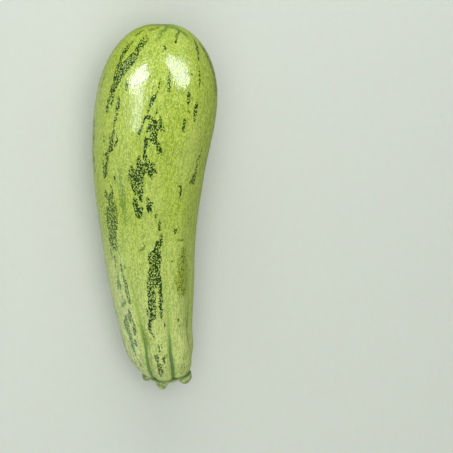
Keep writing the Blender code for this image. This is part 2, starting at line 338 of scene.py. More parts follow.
# Dark green streaks run along the fruit in broken rows, over its vascular bundles, in the skin itself.
# Those that the camera sees are traced one by one, and a rule with a fixed seed draws the hidden rows.
# Each course is a run of (distance in mm, turn in degrees, half-width in mm).
STREAKS = (
    ((2.6, -50, 0.3), (3.2, -56, 0.5), (5, -60, 0.6)),
    ((7.6, -57, 0.5), (9, -59, 1), (11, -60.5, 1.3), (13, -61.5, 1.3), (15, -61.5, 0.9), (16.5, -60, 0.7)),
    ((17, -61, 0.6), (19, -62.5, 0.9), (20.2, -63, 0.6)), ((13.6, -76, 0.25), (14.9, -77, 0.3)),
    ((21.3, -80.3, 0.3), (23.7, -80.2, 0.45), (26, -80.9, 0.45), (28.4, -81.5, 0.35)),
    ((30.2, -82, 0.3), (31.5, -81.5, 0.35)), ((33, -80.7, 0.25), (36.1, -78.7, 0.3)),
    ((5.6, -42, 0.4), (6.4, -42, 0.8), (8.5, -41.5, 1), (10.5, -42, 1.4), (12.5, -43.5, 1.8),
     (14.5, -45, 2.4), (16.5, -48, 2.4), (18.5, -52, 2.8), (20, -55, 2.8), (22, -57, 2.6), (24, -57.5, 2.4),
     (26, -58, 1.9), (27.5, -57.5, 1.2)),
    ((27, -60, 1.2), (30, -61.5, 1), (32, -62, 0.8), (34, -63, 0.9), (37, -63.5, 0.9), (39.5, -63.5, 0.5)),
    ((27, -57, 1.1), (29, -58.5, 0.8), (31, -58, 0.8), (33, -57.5, 0.7), (35, -58.3, 0.6), (36, -59, 0.4)),
    ((6.4, -33.5, 0.6), (7.5, -34.5, 0.8), (9, -36.5, 0.7), (9.3, -40, 0.5)),
    ((9.3, -35.3, 0.4), (10, -35, 0.4)), ((24.3, -44.2, 0.4), (26.3, -44, 0.75), (28.4, -44.2, 0.5)),
    ((9.3, -7, 0.35), (10, -6, 0.45), (11, -7.5, 0.4), (11.6, -9, 0.3)),
    ((20, -8.3, 0.2), (20.6, -8.3, 0.2)),
    ((23.5, -11.5, 0.3), (25, -12.2, 0.4), (27.5, -13, 0.3), (30, -15, 0.4), (31.5, -15.5, 0.5)),
    ((30.5, -17.5, 0.5), (32, -17.3, 0.9), (34, -18, 0.8), (35.5, -19, 0.5), (36.5, -18.7, 0.3)),
    ((36.5, -19.5, 0.25), (38, -20.5, 0.4), (39.5, -21.3, 0.6), (41, -23, 0.4), (42.5, -24, 0.5),
     (45, -25.5, 0.5), (47, -26.8, 0.6), (47.8, -27.5, 0.4)),
    ((38.5, -17.5, 0.35), (40.5, -18.5, 0.4), (40.8, -20.3, 0.4)),
    ((19.8, -3, 0.3), (21, -2.5, 0.4), (23, -3, 0.7), (25, -3.3, 0.8), (27, -3.3, 0.8), (28.5, -3.2, 0.6)),
    ((36.3, -13, 0.3), (37.5, -12, 0.5), (38.6, -12.7, 0.3)),
    ((31, -51.3, 0.3), (33.5, -50.5, 0.7), (35, -50.5, 0.9), (36.8, -50.5, 0.9), (38, -51.5, 0.6),
     (40, -51.5, 0.5), (42, -52, 0.6), (44, -52.5, 0.5), (45.3, -53, 0.3)),
    ((39.5, -49.5, 0.3), (39.8, -49.5, 0.3)), ((41.5, -50, 0.25), (41.8, -50, 0.25)),
    ((46.3, -52, 0.5), (47.5, -52.5, 0.6), (49.5, -53.5, 0.8), (51.5, -54, 0.9), (53, -54.5, 0.8),
     (54.5, -56, 0.6), (56, -58, 0.6), (57.2, -61, 0.6), (57.8, -64.5, 0.4)),
    ((48.5, -48.8, 0.5), (50, -48, 0.5), (52, -49, 0.5), (53, -50.8, 0.4), (54.5, -52.5, 0.5),
     (55.5, -55, 0.5)),
    ((46.5, -56, 0.3), (50, -56.5, 0.25), (52, -56, 0.3)),
    ((57.5, -58.5, 0.8), (59, -58.8, 0.9), (61, -59, 0.7), (62.5, -60.5, 0.9), (64, -62, 1.6),
     (66, -62.5, 1.3), (67.7, -63.3, 0.5)),
    ((60, -64.5, 0.3), (61, -64.5, 0.5), (62.3, -64.8, 0.4), (63.5, -64, 0.7)),
    ((51.3, -64, 0.4), (51.8, -64, 0.4)), ((49.5, -64.3, 0.25), (49.7, -64.3, 0.25)),
    ((40.3, -15, 0.5), (42, -15.5, 1.1), (43.5, -16.5, 1.4), (45, -18, 1), (45.7, -19.3, 0.5)),
    ((41.8, -12.5, 0.7), (44, -12, 0.8), (46, -12, 1.1), (48, -13, 1.7), (49.5, -12.5, 1.4),
     (50.2, -11, 0.8)),
    ((40, -8.7, 0.4), (41.5, -8.5, 0.8), (43, -8.5, 0.9), (44.5, -7.5, 0.8), (45.6, -8.3, 0.4)),
    ((43.8, -5.3, 0.3), (45.6, -3.8, 0.4)),
    ((50, -9.5, 0.5), (51.5, -7.5, 0.9), (53, -6.3, 1.2), (54.6, -5, 0.9)),
    ((53, -8, 0.5), (55.6, -6.8, 0.3)),
    ((47.8, -20.5, 0.4), (49, -19.5, 0.9), (50.5, -19, 0.8), (52, -19.3, 0.7), (54, -19.3, 0.6),
     (55.5, -19, 0.8), (57, -18.5, 1.1), (57.5, -16.8, 1.3), (59, -15.5, 0.9), (61, -15, 1)),
    ((51.7, -18.5, 0.6), (51.6, -16.2, 0.5)), ((48.5, -19, 0.5), (48.3, -16.5, 0.5)),
    ((56.2, -24, 0.6), (58, -24.3, 1), (60, -24, 1), (61.2, -24.5, 0.4)),
    ((59, -21, 0.6), (60.5, -20, 1.4), (62, -17, 1.5), (61.5, -13, 1.6), (60, -10.8, 0.9),
     (58.9, -11.8, 0.5)),
    ((61.5, -10.5, 0.9), (62.7, -8.5, 0.8), (63.7, -7, 0.4)),
    ((62.5, -14, 1.3), (64.5, -11.5, 1), (65.8, -10.3, 0.7)),
    ((60.7, -32, 0.6), (62.5, -31, 1.3), (64.5, -30, 2), (66.5, -30.5, 1.8), (68.5, -29.5, 1.2),
     (70.5, -27.5, 1.2), (72.5, -26.5, 1.1), (73.6, -26.5, 0.5)),
    ((62.5, -24, 1.2), (64.5, -23, 1.8), (66.5, -22.5, 1.9), (68.5, -22.5, 1.9), (70.5, -23, 2),
     (72.5, -22.5, 1.8), (74, -21.5, 1), (75.5, -21, 0.8), (76.6, -20.5, 0.6)),
    ((61, -21.5, 0.9), (63, -20, 1.2), (65, -19.5, 0.6)), ((63.5, -6, 0.3), (65.5, -7, 0.25)),
    ((66.3, -49.5, 0.4), (67.5, -49.2, 0.5), (68.6, -48.5, 0.3)),
    ((70.8, -55.3, 0.3), (72, -54, 0.35), (73.4, -52, 0.3)),
    ((73.5, -54.5, 0.7), (74.5, -53.5, 0.9), (76, -55.5, 1.1), (78, -56, 1.2), (79, -54, 1.6),
     (80.5, -52.5, 1.7), (82.5, -52, 1.5), (84, -50.5, 0.7), (86, -50.5, 0.5), (88, -50.8, 0.6),
     (90, -51.5, 0.5), (91.3, -51.5, 0.4)),
    ((73.6, -62.5, 0.5), (75, -63, 1.2), (76, -62, 1.2), (77, -61.5, 0.7)),
    ((75.3, -61, 0.6), (75.6, -58.5, 0.6)), ((78.5, -63, 0.4), (79.5, -63, 0.4)),
    ((78, -57.5, 0.9), (80, -57, 1.1), (82, -57, 1.3), (84, -60.5, 2), (86, -59, 2.8), (88, -59, 3),
     (90, -59.5, 3), (92, -60, 2.8), (94, -59, 2.5), (96, -60, 2.6), (98, -60, 2.8), (100, -58.5, 2),
     (101.5, -57.5, 1)),
    ((81.3, -62, 0.6), (83, -64, 0.8), (85, -66.5, 0.6)), ((92.5, -56.5, 0.9), (93.5, -55, 0.6)),
    ((76.2, -27, 1.2), (78.5, -26.5, 1.2), (80.5, -25, 1.5), (82.5, -24, 1.5), (84.3, -23, 0.6)),
    ((79.6, -20, 0.7), (81.5, -20.5, 1), (83.2, -21, 0.6)),
    ((75, -14, 0.4), (76.5, -13.5, 0.7), (78.5, -12.5, 1.3), (80.5, -12, 1.2), (81.5, -11, 0.9),
     (82.2, -10, 0.4)),
    ((77.5, -10.5, 0.5), (77.5, -8.5, 0.4)), ((83, -5.5, 0.4), (84, -5, 0.4), (85, -4.3, 0.3)),
    ((83.3, -3.5, 0.3), (83.3, -2.8, 0.3)),
    ((86.3, -0.5, 0.5), (87.5, 0, 0.6), (89, -0.7, 0.8), (90.7, -0.3, 0.7)),
    ((93.3, 1.5, 0.5), (95, 1.8, 0.8), (96.5, 1.5, 0.8), (98, 1.5, 0.9), (99, 0.5, 0.8), (100, -1.5, 1)),
    ((97.2, -3.3, 0.7), (98.5, -2.8, 1.1), (100.5, -3.8, 1.1), (102.5, -4.5, 1.3), (104, -5, 2.9),
     (106, -6, 3.1), (108, -5.7, 2.6), (110, -6.5, 2.8), (112, -7, 2.6), (114, -9, 2.5), (116, -8, 3.3),
     (117.5, -8, 2.4)),
    ((102.8, -10.5, 0.8), (104, -11.5, 1), (105.5, -11.5, 1.1), (108, -11, 0.9), (111, -11.5, 0.8),
     (112, -13, 0.9), (114, -13, 1), (116, -14.5, 0.8)),
    ((102.3, 0, 0.6), (104.5, 1, 0.6), (106.5, 0.5, 0.6), (108.3, -0.7, 0.5)),
    ((116, -13.5, 1.2), (118, -14, 1.5), (120, -13.5, 1.8), (122, -13, 2), (124, -13.5, 1.9),
     (126, -14, 1.9), (128, -14, 1.9), (130, -14, 1.7), (132, -14, 1.4), (134, -14.5, 1.4), (135, -15, 1.1),
     (135.7, -17.5, 0.9), (137, -19.5, 0.9), (139, -20.5, 0.8), (141, -20.8, 0.7), (142.3, -20.5, 0.4)),
    ((143, -18.5, 0.3), (144, -17, 0.45), (144.8, -16.5, 0.3)),
    ((130.2, -21.5, 0.4), (132, -21, 0.4), (133.5, -21, 0.3)),
    ((116, -3, 1.2), (118, -1.5, 1.1), (120, -1.3, 0.9), (122, -1.8, 0.9), (124, -1.5, 0.8),
     (126, -1.8, 1), (128, -2.3, 1), (130, -2.3, 0.8), (132, -2, 0.8), (134, -2.3, 0.7),
     (135.2, -2.5, 0.4)),
    ((137.7, 2, 0.3), (138.5, 2, 0.35), (140.2, 1.7, 0.4)),
    ((149, -11.2, 0.3), (150, -11.7, 0.35), (152.4, -11, 0.35)), ((149.3, -6.5, 0.3), (151.2, -7.5, 0.3)),
    ((154.3, -20, 0.45), (156, -19.5, 0.6), (157.5, -19.5, 0.5), (159, -20.5, 0.5), (161, -21.5, 0.6),
     (163, -22.5, 0.6), (164.3, -23, 0.4)),
    ((153.7, -16.3, 0.4), (155.5, -16.5, 0.7), (157, -17, 0.5), (158.3, -15.5, 0.5), (158.2, -11, 0.4),
     (157.5, -8, 0.6), (156, -8.5, 0.8), (155.3, -5.5, 0.6), (154.8, -2, 0.4)),
    ((159, -15.7, 0.5), (161, -17, 0.8), (162.8, -18, 0.7)), ((154.2, -8, 0.25), (154.5, -8, 0.25)),
    ((159.5, -7, 0.3), (159.7, -6.5, 0.3)),
    ((8, 9.5, 0.3), (7.6, 10, 0.4), (6.5, 13, 0.25), (5.5, 17, 0.2), (4.3, 22, 0.2), (3.3, 28, 0.2),
     (2.9, 34, 0.2)),
    ((21.2, 21.5, 0.4), (22, 22.3, 0.4)), ((20.3, 32, 0.4), (20.8, 31.8, 0.4)),
    ((22, 31.3, 0.6), (23, 31, 0.5), (25.5, 30, 0.4), (27, 29.5, 0.5)),
    ((6.5, 53, 0.4), (8, 50, 0.6), (10, 46, 1), (11, 43, 1), (12.5, 41, 0.8), (14.5, 37, 0.6),
     (15.6, 36, 0.4)),
    ((29.5, 16, 0.7), (31.5, 17, 1), (33, 16.5, 0.9), (34.2, 16.5, 0.5)),
    ((34.2, 26, 0.6), (36.5, 25, 1.1), (38.5, 25, 1.1), (40.5, 25, 0.8), (41.8, 24.5, 0.4)),
    ((37.3, 17.5, 0.3), (38.5, 18.5, 0.3)),
    ((41.2, 14.5, 0.6), (43, 14, 0.8), (45, 14, 0.7), (46.3, 15, 0.4)),
    ((70.8, 18, 0.4), (70.9, 20.5, 0.4), (72.5, 21.8, 0.35), (74, 21.3, 0.4), (76, 21.5, 0.5),
     (76.7, 22, 0.3)),
    ((91.3, 18, 0.35), (92.5, 18.5, 0.5), (93.6, 19, 0.6)), ((91.6, 20.5, 0.3), (93.4, 20.7, 0.5)),
    ((137.4, 23.7, 0.4), (138.6, 22.3, 0.35)), ((140.6, 25.8, 0.35), (141.2, 26, 0.35)),
    ((101.8, -66.5, 0.3), (104, -65.5, 0.6), (106, -64.5, 0.5), (107.5, -65, 0.3)),
    ((105.3, -60, 0.5), (106.5, -60, 0.6), (108, -59.5, 0.7), (109.5, -60.5, 0.5), (111.3, -61.5, 0.3)),
    ((104.1, -52.3, 0.3), (104.4, -52, 0.3)),
    ((108.8, -52, 0.4), (110.5, -51.5, 0.6), (112.2, -51.5, 0.4), (114.2, -51, 0.3)),
    ((109.5, -46.5, 0.35), (110.7, -46.3, 0.35)),
    ((114.8, -49.5, 0.5), (117, -48.5, 1), (119, -48, 1), (121, -48, 0.9), (123, -47.5, 1),
     (125, -47, 0.9), (127, -46.5, 0.8), (128, -46, 0.4)),
    ((113, -58.5, 0.4), (115, -58.5, 0.6), (117, -59.5, 0.7), (118.5, -60, 1), (120, -61.5, 0.7),
     (121.5, -63, 0.5)),
    ((119.3, -57.5, 0.7), (121.3, -58, 0.5)), ((122.5, -57.5, 0.3), (126, -57.5, 0.3)),
    ((126.7, -54, 0.5), (128, -55.5, 1), (129, -58.5, 1.1), (129.8, -60.5, 0.7)),
    ((131.3, -50.5, 0.4), (133, -49.5, 0.8), (134.5, -51, 1.3), (136, -51, 1.2), (137.3, -51.5, 0.7)),
    ((136, -47.5, 0.4), (138, -46.8, 0.5), (140, -46.5, 0.7), (142, -47, 0.8), (143.5, -48, 0.6),
     (144.3, -48.5, 0.3)),
    ((134, -58.5, 0.4), (135.5, -58, 0.7), (137, -58.5, 1), (138.5, -60, 1.9), (140, -60, 1.8),
     (142, -59.5, 1.3), (144, -57.5, 1.2), (146, -57.5, 1.2), (148, -57, 1), (150, -57, 0.9),
     (152, -56.5, 0.7), (154, -56.5, 0.5), (156.3, -57, 0.3)),
    ((146.8, -50.5, 0.6), (149, -50.5, 0.8), (150.5, -49, 0.5), (151.2, -48, 0.3)),
    ((156.8, -54, 0.5), (158.5, -54.5, 0.6), (159.8, -55, 0.4)),
    ((152, -68, 0.3), (156, -70, 0.3), (160, -74, 0.3), (164, -79, 0.2)),
    ((150, -61, 0.2), (156, -63, 0.25), (163, -69, 0.2)),
    ((158, 21, 0.15), (162, 22, 0.2), (165.5, 22.5, 0.15)),
    ((160, 32, 0.1), (163, 34, 0.2), (166, 35.5, 0.15)), ((157, 27, 0.1), (161, 28, 0.15), (165, 29, 0.1)),
    ((161, -1, 0.1), (164, -1.5, 0.2), (166.5, -2, 0.15)),
)

# (turn, first and last distance in mm, weight) of the rows that the camera doesn't see
HIDDEN_ROWS = ((-88, 16, 160, 0.8), (-110, 10, 158, 1.0), (-134, 12, 160, 0.8), (-158, 8, 158, 1.0),
               (176, 14, 160, 0.8), (150, 8, 160, 1.05), (122, 10, 158, 0.8), (98, 12, 140, 1.1),
               (66, 8, 72, 1.0), (40, 46, 70, 0.7))
ROW_SEED = 12
BROAD_CHANCE = 0.40
# Ranges in mm: how late a row starts, a broad patch, a thin line, and the gap to the next
LATE_BY, GAP = (0, 10), (1, 11)
BROAD_LENGTH, BROAD_WIDTH = (14, 34), (1.5, 2.7)
THIN_LENGTH, THIN_WIDTH = (4, 13), (0.35, 0.9)
# Ranges in degrees: how far a course lies beside its row, and strays at each stop
BESIDE, STRAY = (-4, 4), (-1.7, 1.7)
# Shares of the greatest half-width at the stops, and the least half-width in mm
WIDTH_SHARES, LEAST_WIDTH = (0.4, 1.15), 0.2
# A fork: its lead and half-width in mm, and its turn in degrees
FORK_LEAD, FORK_WIDTH, FORK_TURN = 0.8, 0.6, 7
STOP_SPACING = 2.4
WALK_STEP = 0.3
MM_PER_DEGREE = 0.4
DEPTH_REACH = 0.004


def skin_place(distance, turn):
    """The point of the skin, without its ribs, at a distance and a turn in degrees."""
    centre, side, up, _ = section_frame(distance)
    angle = math.radians(turn)
    return centre + mean_radius(distance) * (math.sin(angle) * side + math.cos(angle) * up)


def walk(course):
    """Points and half-widths, in metres, every third of a millimetre along a course."""
    points, widths = [], []
    for (d0, t0, w0), (d1, t1, w1) in zip(course[:-1], course[1:]):
        length = math.hypot(d1 - d0, MM_PER_DEGREE * (t1 - t0))
        pieces = max(1, math.ceil(length / WALK_STEP))
        for piece in range(pieces + 1):
            share = piece / pieces
            points.append(skin_place(0.001 * (d0 + share * (d1 - d0)), t0 + share * (t1 - t0)))
            widths.append(0.001 * (w0 + share * (w1 - w0)))
    return np.array(points), np.array(widths)


def depth_in(courses):
    """How deep, in mm, each point of the skin lies inside the nearest course; below 0 is outside."""
    depth = np.full(len(skin_points), -1000 * DEPTH_REACH)
    for course in courses:
        points, widths = walk(course)
        margin = DEPTH_REACH + widths.max()
        low, high = points.min(axis=0) - margin, points.max(axis=0) + margin
        near = np.flatnonzero(np.all((skin_points > low) & (skin_points < high), axis=1))
        if len(near):
            gaps = np.linalg.norm(skin_points[near, None, :] - points[None, :, :], axis=2)
            depth[near] = np.maximum(depth[near], 1000 * (widths - gaps).max(axis=1))
    return depth


def wandering_row(luck, turn, start, end, weight):
    """A broken row of streaks along the fruit: broad patches and thin lines that wander and fork."""
    courses = []
    at = start + luck.uniform(*LATE_BY)
    while at < end:
        broad_one = luck.random() < BROAD_CHANCE
        length = weight * luck.uniform(*(BROAD_LENGTH if broad_one else THIN_LENGTH))
        widest = weight * luck.uniform(*(BROAD_WIDTH if broad_one else THIN_WIDTH))
        sideways = turn + luck.uniform(*BESIDE)
        course = []
        steps = max(3, int(length / STOP_SPACING))
        for step in range(steps + 1):
            share = step / steps
            sideways += luck.uniform(*STRAY)
            width = widest * (math.sin(math.pi * share) ** 0.5) * luck.uniform(*WIDTH_SHARES)
            course.append((min(at + length * share, end), sideways, width + LEAST_WIDTH))
        courses.append(course)
        for branch in range(luck.randrange(1, 4) if broad_one else luck.randrange(0, 2)):
            fork = luck.randrange(0, steps)
            aside = luck.choice((-1, 1))
            reach = luck.randrange(3, 6)
            courses.append([(min(along + FORK_LEAD, end),
                             turned + aside * FORK_TURN * (1 - math.exp(-0.3 - 0.7 * number)),
                             LEAST_WIDTH + FORK_WIDTH * (1 - number / reach))
                            for number, (along, turned, _) in enumerate(course[fork:fork + reach])])
        at += length + luck.uniform(*GAP) / weight
    return courses


luck = random.Random(ROW_SEED)
hidden_streaks = []
for row in HIDDEN_ROWS:
    hidden_streaks += wandering_row(luck, *row)

# Courses of the other marks, in the same form
GROOVE_MARKS = (
    ((111, -44, 0.05), (118, -40, 0.1), (124.7, -37, 0.15), (132, -36, 0.2), (141, -35.3, 0.35),
     (148, -34.2, 0.5), (153, -35.6, 0.6), (158, -40, 0.65), (161, -43.8, 0.65), (166.2, -49.5, 0.6),
     (168, -51, 0.6)),
    ((126.6, 8.4, 0.05), (134, 9, 0.1), (143, 9.4, 0.25), (147, 9, 0.5), (150.6, 8.1, 0.7),
     (155.7, 6.2, 0.9), (161.6, 4.6, 0.95), (165, 3.2, 0.9), (168, 2.5, 0.8)),
    ((112, 46, 0.1), (125.6, 50.4, 0.4), (134, 50.6, 0.7), (143, 51, 0.9), (149, 47, 0.8), (154, 52, 0.7),
     (160, 62, 0.9), (168, 78, 0.9)),
    ((130, 134, 0.2), (146, 138, 0.5), (154, 143, 0.7), (160, 148, 0.8), (168, 156, 0.9)),
    ((128, -120, 0.2), (146, -120, 0.5), (156, -120, 0.7), (168, -120, 0.8)),
)
SMEARS = (
    ((62, -43, 0.3), (68, -42, 1), (73, -41, 1.4), (78, -40.5, 1.1), (84, -39.5, 0.5), (88, -38.5, 0.3)),
    ((139.5, -33, 0.5), (144, -32, 1), (148, -31, 0.9), (150.5, -30.5, 0.3)),
)
# The furrows that run into the blossom scar, and the greener patch beside it
PUCKERS = (
    ((0.6, 10, 0.6), (1.5, 7, 0.55), (3, -8, 0.4), (4.6, -14, 0.2), (7, -18.5, 0)),
    ((0.6, 12, 0.8), (1.3, 18.5, 1.1), (1.9, 31.2, 1.1), (3.2, 38.5, 1.1), (4.5, 40, 0.8), (5.4, 42, 0.2)),
    ((0.6, -72, 0.2), (1.8, -74, 0.25), (3.4, -80, 0)),
    ((0.6, -120, 0.1), (1.6, -121, 0.15), (2.8, -124, -0.3)),
    ((0.6, 86, 0.2), (1.6, 88, 0.2), (3, 92, -0.2)), ((0.6, 131, 0.1), (1.5, 133, 0.1), (2.4, 137, -0.3)),
    ((0.6, 178, 0.2), (1.8, 179, 0.25), (3.6, 181, 0)),
)
SCAR_PATCH = (
    ((0.8, 15, 0.7), (1.5, 28, 1.2), (2.4, 36, 1.2), (3.6, 39, 0.7)),
)
SCRATCHES = (
    ((88, -19.8, 0), (89.6, -19.9, 0.1)), ((93.2, -18, 0), (94.4, -17.6, 0.1)),
    ((97, -19.3, 0), (98, -19, 0.05)), ((1.4, -20, 0.3), (2.1, -26, 0.35)),
    ((2, -36, 0.35), (2.8, -40, 0.35)), ((2.4, -29, 0.3), (2.9, -34, 0.3)),
    ((2.8, 32.7, 0.25), (4.3, 18.7, 0.3), (5.6, 13, 0.3)), ((107.8, 15.8, 0.4), (108, 16.2, 0.4)),
    ((106.3, 31.2, 0.25), (106.6, 32, 0.3)),
    ((98.7, -17.4, 0.25), (99.8, -18.8, 0.3), (100.7, -20.8, 0.35), (101.1, -22.8, 0.3)),
    ((97.6, 24, 0.2), (98.2, 32, 0.2)), ((5, -38.5, 0.35), (5.3, -39, 0.3)),
)
SCUFFS = (
    ((103, 33, 1.5), (108, 34, 2.6), (113, 34, 3.8), (118, 32, 4.6), (122, 33, 4), (125.5, 35, 2)),
)
# How strong the streaks are, and how much less on the left side and in the last part
STREAK_STRENGTH = 0.98
PAST_BELLY_LOSS, NEAR_STEM_LOSS, LAST_PART_LOSS = 0.10, 0.16, 0.12
# Where each starts and is full: a turn in degrees, and distances in mm
LEFT_SIDE, PAINTED_HAZE_PART = (-40, -54), (85, 125)
PAST_BELLY, NEAR_STEM, LAST_PART = (68, 78), (100, 114), (149, 154)


def ramp(values, start, end):
    """0 before the start, 1 past the end, and even between them."""
    return np.clip((values - start) / (end - start), 0, 1)


along_skin = 1000 * per_point(facts["distance"])
on_left = ramp(per_point(facts["turn"]), *LEFT_SIDE)
left_loss = PAST_BELLY_LOSS * ramp(along_skin, *PAST_BELLY) + NEAR_STEM_LOSS * ramp(along_skin, *NEAR_STEM)
last_loss = LAST_PART_LOSS * ramp(along_skin, *LAST_PART)
store(skin_mesh, "strength", STREAK_STRENGTH - on_left * left_loss - (1 - on_left) * last_loss)
# Painted reflection: the left side towards the stem is painted paler, standing in for a pale haze reflected
# there
store(skin_mesh, "painted_haze", on_left * ramp(along_skin, *PAINTED_HAZE_PART))
for name, courses in {"streak": STREAKS + tuple(hidden_streaks), "groove": GROOVE_MARKS, "smear": SMEARS,
                      "pucker": PUCKERS, "scar_patch": SCAR_PATCH, "scratch": SCRATCHES,
                      "scuff": SCUFFS}.items():
    store(skin_mesh, name, depth_in(courses))


# The skin itself: thin, waxy and hard to scratch, pale green with a fine lighter stipple drawn out
# lengthwise. It is greener round the blossom scar and paler towards the stem, and the scar is a corky disc.
SKIN_GREEN = (0.392, 0.488, 0.052, 1)
SKIN_LIGHT = (0.662, 0.738, 0.180, 1)
SKIN_PALE = (0.515, 0.575, 0.215, 1)
# A painted pale reflection, laid over the left side towards the stem
SKIN_PAINTED_HAZE = (0.700, 0.735, 0.500, 1)
SKIN_DEEP = (0.110, 0.210, 0.005, 1)
STREAK_DARK = (0.002, 0.034, 0.001, 1)
STREAK_GREY = (0.055, 0.130, 0.075, 1)
STREAK_FILL = (0.155, 0.265, 0.060, 1)
# The darker green of the grooves and of the stem-face rim, partly their own tone and partly painted shade
GROOVE_GREEN_AND_SHADE = (0.115, 0.195, 0.070, 1)
GROOVE_START = (0.235, 0.375, 0.048, 1)
POLE_GREEN = (0.070, 0.205, 0.001, 1)
PUCKER_GREEN = (0.035, 0.125, 0.001, 1)
SMEAR_GREEN = (0.080, 0.190, 0.000, 1)
SCRATCH_OLIVE = (0.060, 0.100, 0.003, 1)
SCUFF_OLIVE = (0.240, 0.295, 0.000, 1)
CORK = (0.300, 0.262, 0.120, 1)
# Patterns a metre: the stipple's cells, grain and clouds, the streaks' cells and edges, and the rest
STIPPLE_SCALE, GRAIN_SCALE, CLOUD_SCALE = 1500, 1350, 420
NET_SCALE, NET_EDGE_SCALE, SPECK_SCALE = 1450, 1300, 1150
BROAD_SCALE, WOBBLE_SCALE = 60, 700
# How far, in metres, noise moves the stipple and the net about
STIPPLE_WANDER, NET_WANDER = 0.0004, 0.0005
# How far each pattern is drawn out along the fruit
STIPPLE_STRETCH, GRAIN_STRETCH, NET_STRETCH = (1, 0.58, 1), (1, 0.13, 1), (1, 0.80, 1)
BROAD_STRETCH, SPECK_STRETCH = (1, 0.35, 1), (1, 0.8, 1)
# Smallest and largest radius, and the edge's softness, as shares of a cell
FLECKS, HOLES = (0.20, 0.56, 0.10), (0.35, 0.54, 0.03)
# Where a change starts and is full, in metres from the blossom pole
PALER_PART, GROOVE_CHANGE, FACE_RIM = (0.075, 0.160), (0.134, 0.154), (0.1666, 0.1676)
POLE_RING, CORK_RIM, WAX_START = (0.0016, 0.0006), (0.00024, 0.00012), (0.001, 0.012)
# How much of the skin's pattern shows, and how much of the painted pale reflection on the left side
MOTTLE_SHARE, LIGHT_SHARE, PAINTED_HAZE_SHARE = 0.56, 0.54, 0.45
SKIN_ROUGHNESS, CORK_ROUGHNESS, WAX_ROUGHNESS = (0.30, 0.40), 0.35, 0.045
SKIN_RELIEF, WAX_RELIEF, RELIEF_STRENGTH = 0.000075, 0.000062, 0.55


def new_group(name, family, inputs, outputs):
    """A group whose sockets each have a kind, or a number: its tree, what comes in, what goes out."""
    tree = bpy.data.node_groups.new(name, family + "NodeTree")
    for way, sockets in (("INPUT", inputs), ("OUTPUT", outputs)):
        for title, kind in sockets.items():
            number = isinstance(kind, float)
            made = tree.interface.new_socket(title, in_out=way,
                                             socket_type="NodeSocket" + ("Float" if number else kind))
            if number:
                made.default_value = kind
    return tree, add_node(tree, "NodeGroupInput"), tree.nodes.new("NodeGroupOutput").inputs


def cells(place, scale):
    """Irregular cells of one size at a place."""
    return wired("ShaderNodeTexVoronoi", (("Vector", place), ("Scale", scale)))


def crooked(place, size, reach):
    """A place moved about by soft noise, so that its pattern isn't regular."""
    centred = vectors("SUBTRACT", noise(place, size, output="Color"), (0.5, 0.5, 0.5))
    return vectors("MULTIPLY_ADD", centred, (reach, reach, reach), place)


def dots(place, scale, smallest, largest, softness, wider=0.0):
    """Rounded dots of uneven size, one to a cell: 1 inside a dot, 0 between them."""
    found = cells(place, scale)
    chance = wired("ShaderNodeSeparateColor", ((0, found["Color"]),))
    size = span(chance[0], 0.0, 1.0, smallest, largest, eased=False)
    return span(total(maths("SUBTRACT", size, found["Distance"]), wider), -softness, softness)


def stippled(place):
    """Where the stipple is drawn, its flecks, and its grain's two noises, lengthwise and not."""
    drawn_out = crooked(stretched(place, STIPPLE_STRETCH), STIPPLE_SCALE, STIPPLE_WANDER)
    return (drawn_out, dots(drawn_out, STIPPLE_SCALE, *FLECKS),
            noise(stretched(place, GRAIN_STRETCH), GRAIN_SCALE, 1), noise(drawn_out, STIPPLE_SCALE, 1))


stipple, at, out = new_group("skin_stipple", "Shader", {"Place": "Vector"},
                             {"Light": "Float", "Mottle": "Float", "Height": "Float"})
drawn_out, flecks, long_grain, short_grain = stippled(at["Place"])
cloud = noise(drawn_out, CLOUD_SCALE, 3, 0.6)
feed(out["Light"], product(flecks, span(cloud, 0.32, 0.60, 0.4, 1.0)))
grain = total(product(long_grain, 0.5), product(short_grain, 0.5))
feed(out["Mottle"], span(grain, 0.43, 0.57))
feed(out["Height"], total(flecks, product(grain, 2.5)))

network, at, out = new_group("streak_network", "Shader",
                             {"Place": "Vector", "Depth": "Float", "Strength": "Float"},
                             {"Dark": "Float", "Fill": "Float"})
net_place = crooked(stretched(at["Place"], NET_STRETCH), STIPPLE_SCALE, NET_WANDER)
ragged = maths("SUBTRACT", noise(net_place, NET_EDGE_SCALE, 2, 0.65), 0.5)
depth = total(at["Depth"], product(ragged, 1.25))
wider = product(maths("SUBTRACT", 1.0, at["Strength"]), 0.18)
holes = dots(net_place, NET_SCALE, *HOLES, wider)
feed(out["Dark"], product(span(depth, -0.13, 0.05), maths("SUBTRACT", 1.0, holes)))
feed(out["Fill"], span(depth, -0.15, 0.55))


def stored(tree, name, kind="Fac"):
    """A value that the mesh stores for each point."""
    return add_node(tree, "ShaderNodeAttribute", attribute_name=name)[kind]


def marked(ground, marks):
    """A colour with marks over it: a value, where each starts and is full, its strength and colour."""
    for value, start, full, strength, colour in marks:
        ground = tint(span(value, start, full, 0.0, strength), ground, colour)
    return ground


def bumped(normal, height, strength, distance):
    """Feeds a shader's normal with the relief of a height."""
    made = wired("ShaderNodeBump", (("Strength", strength), ("Distance", distance), ("Height", height)))
    feed(normal, made[0])


